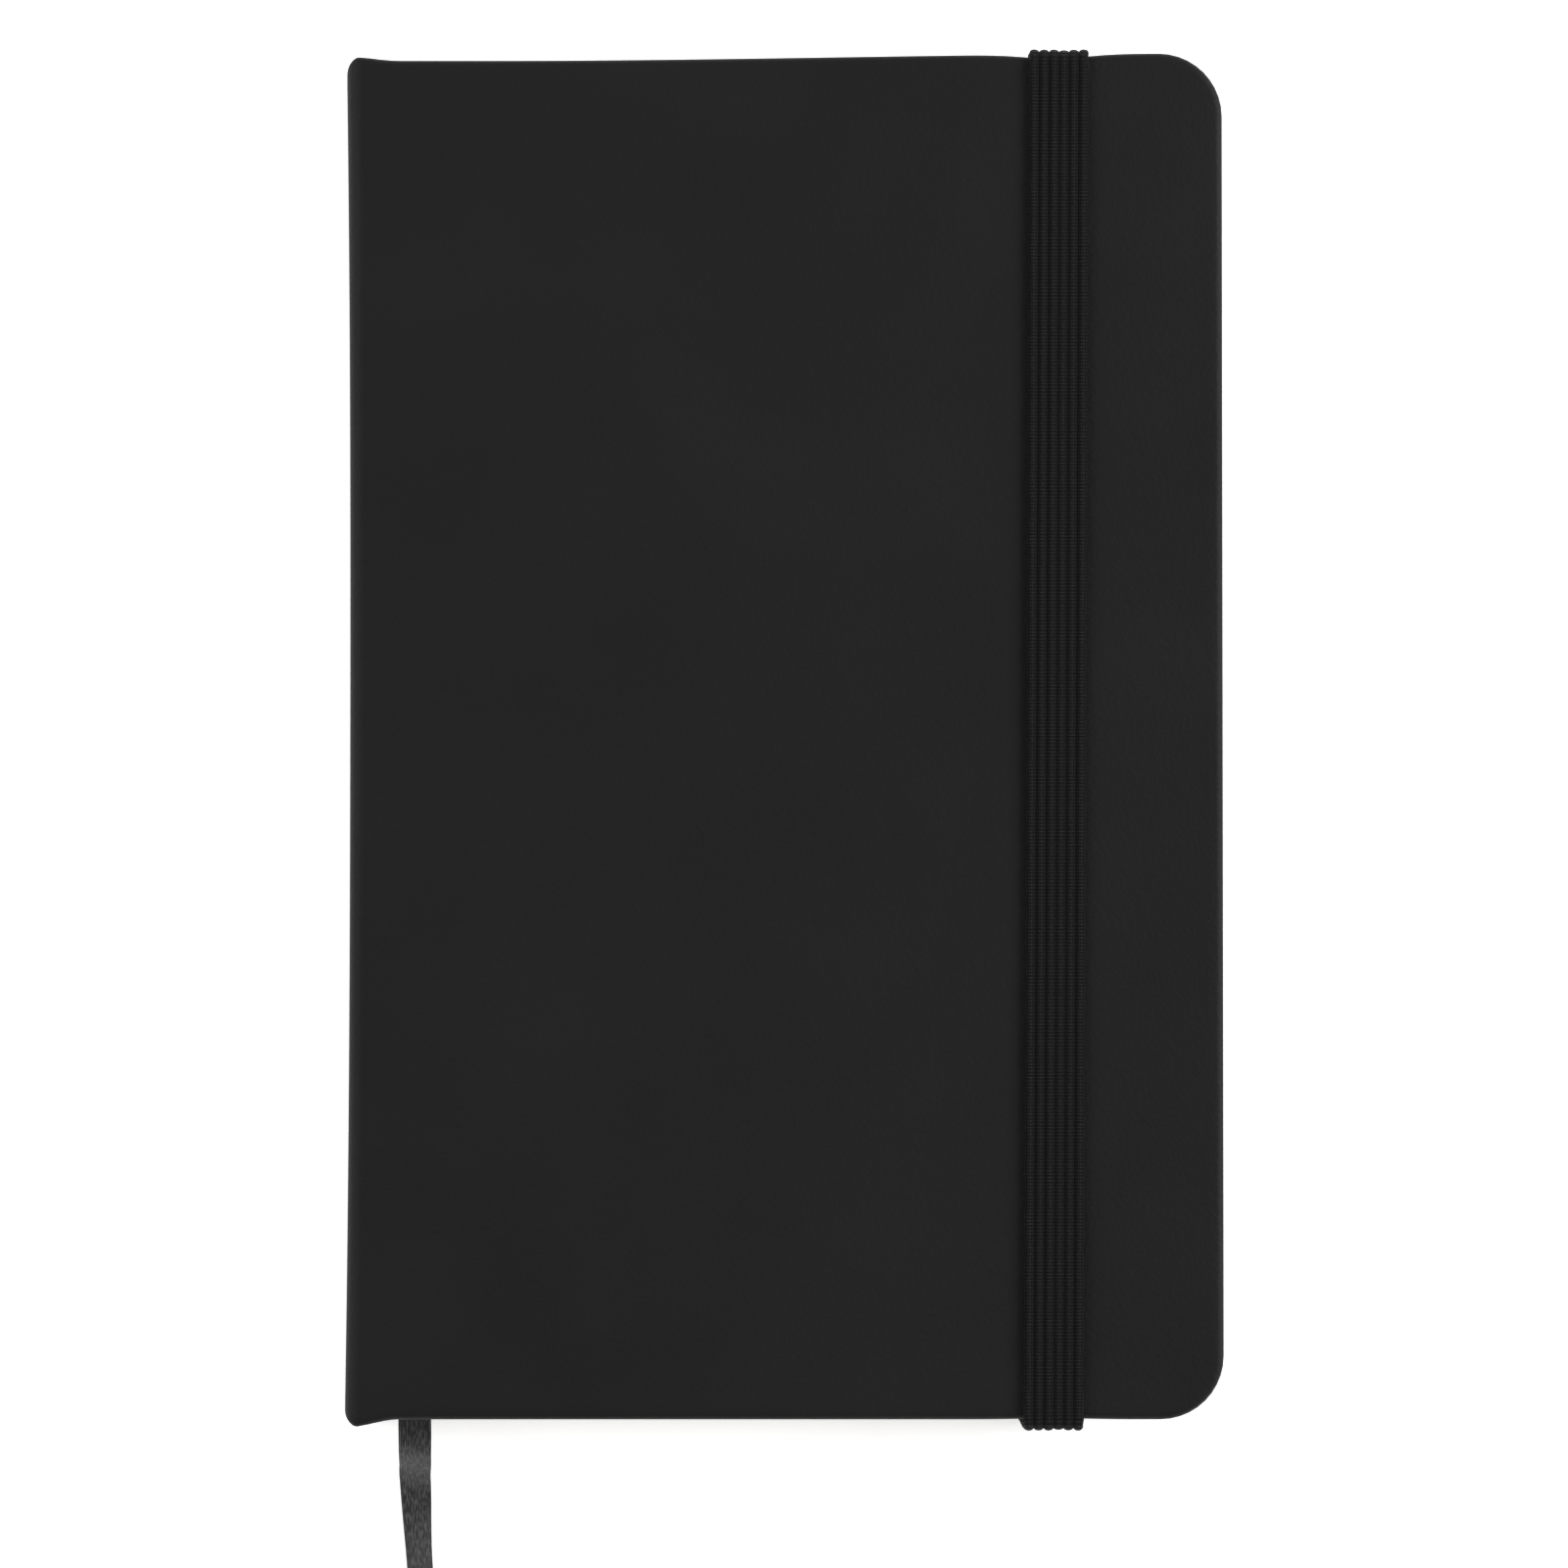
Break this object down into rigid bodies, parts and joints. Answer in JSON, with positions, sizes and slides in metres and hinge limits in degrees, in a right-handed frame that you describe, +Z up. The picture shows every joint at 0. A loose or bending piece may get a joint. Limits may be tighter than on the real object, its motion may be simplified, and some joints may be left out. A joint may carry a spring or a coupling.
{
  "type": "pocket notebook",
  "caption": "Hardcover pocket notebook with a sewn book block, an elastic closure band and a ribbon marker.",
  "frame": {"origin": "centre of the notebook's footprint on the surface it lies on", "axes": "+Z up through the front cover, +Y towards the head, +X towards the fore edge (the spine is at -X)"},
  "size_m": [0.09, 0.1767, 0.0167],
  "materials": {
    "cover": "matte soft-touch leatherette",
    "board": "raw greyboard",
    "paper": "uncoated cream",
    "gauze": "open weave",
    "thread": "waxed thread",
    "elastic": "ribbed woven elastic",
    "ribbon": "satin"
  },
  "bodies": {
    "back_cover": {"back_cover_wrap": "cover", "back_cover_board": "board", "back_joint_strip": "cover", "back_pastedown": "paper", "back_flyleaf": "paper", "signature_4": "paper", "signature_5": "paper", "signature_6": "paper", "sewing_thread_back_half": "thread", "mull_back_half": "gauze", "ribbon_inside": "ribbon", "ribbon_tail": "ribbon", "band_head_anchor": "elastic", "band_tail_anchor": "elastic"},
    "spine": {"spine_wrap": "cover", "spine_card": "board", "front_joint_strip": "cover"},
    "front_cover": {"front_cover_wrap": "cover", "front_cover_board": "board", "front_pastedown": "paper"},
    "front_leaves": {"front_flyleaf": "paper", "signature_1": "paper", "signature_2": "paper", "signature_3": "paper", "sewing_thread_front_half": "thread", "mull_front_half": "gauze"},
    "band": {"band_front_span": "elastic", "band_head_wrap": "elastic", "band_tail_wrap": "elastic"}
  },
  "joints": [
    {"name": "spine_joint", "type": "hinge", "parent": "back_cover", "child": "spine", "pos_m": [-0.0432, 0, 0.0026], "axis": [0, -1, 0], "range_deg": [0, 90], "deforming": ["back_joint_strip"]},
    {"name": "front_cover_joint", "type": "hinge", "parent": "spine", "child": "front_cover", "pos_m": [-0.0432, 0, 0.014], "axis": [0, -1, 0], "range_deg": [0, 90], "deforming": ["front_joint_strip"]},
    {"name": "front_leaves_turn", "type": "hinge", "parent": "back_cover", "child": "front_leaves", "pos_m": [-0.0432, 0, 0.0083], "axis": [0, -1, 0], "range_deg": [0, 162]},
    {"name": "band_slip", "type": "slide", "parent": "back_cover", "child": "band", "axis": [0.8817, 0, -0.4718], "range_m": [0, 0.0275], "deforming": ["band_front_span", "band_head_wrap", "band_tail_wrap"]}
  ],
  "couplings": [
    {"joint": "front_cover_joint", "follows": "spine_joint", "ratio": 1},
    {"joint": "front_leaves_turn", "follows": "spine_joint", "ratio": 1.8},
    {"joint": "band_slip", "follows": "spine_joint", "m_per_rad": 0.0175}
  ]
}
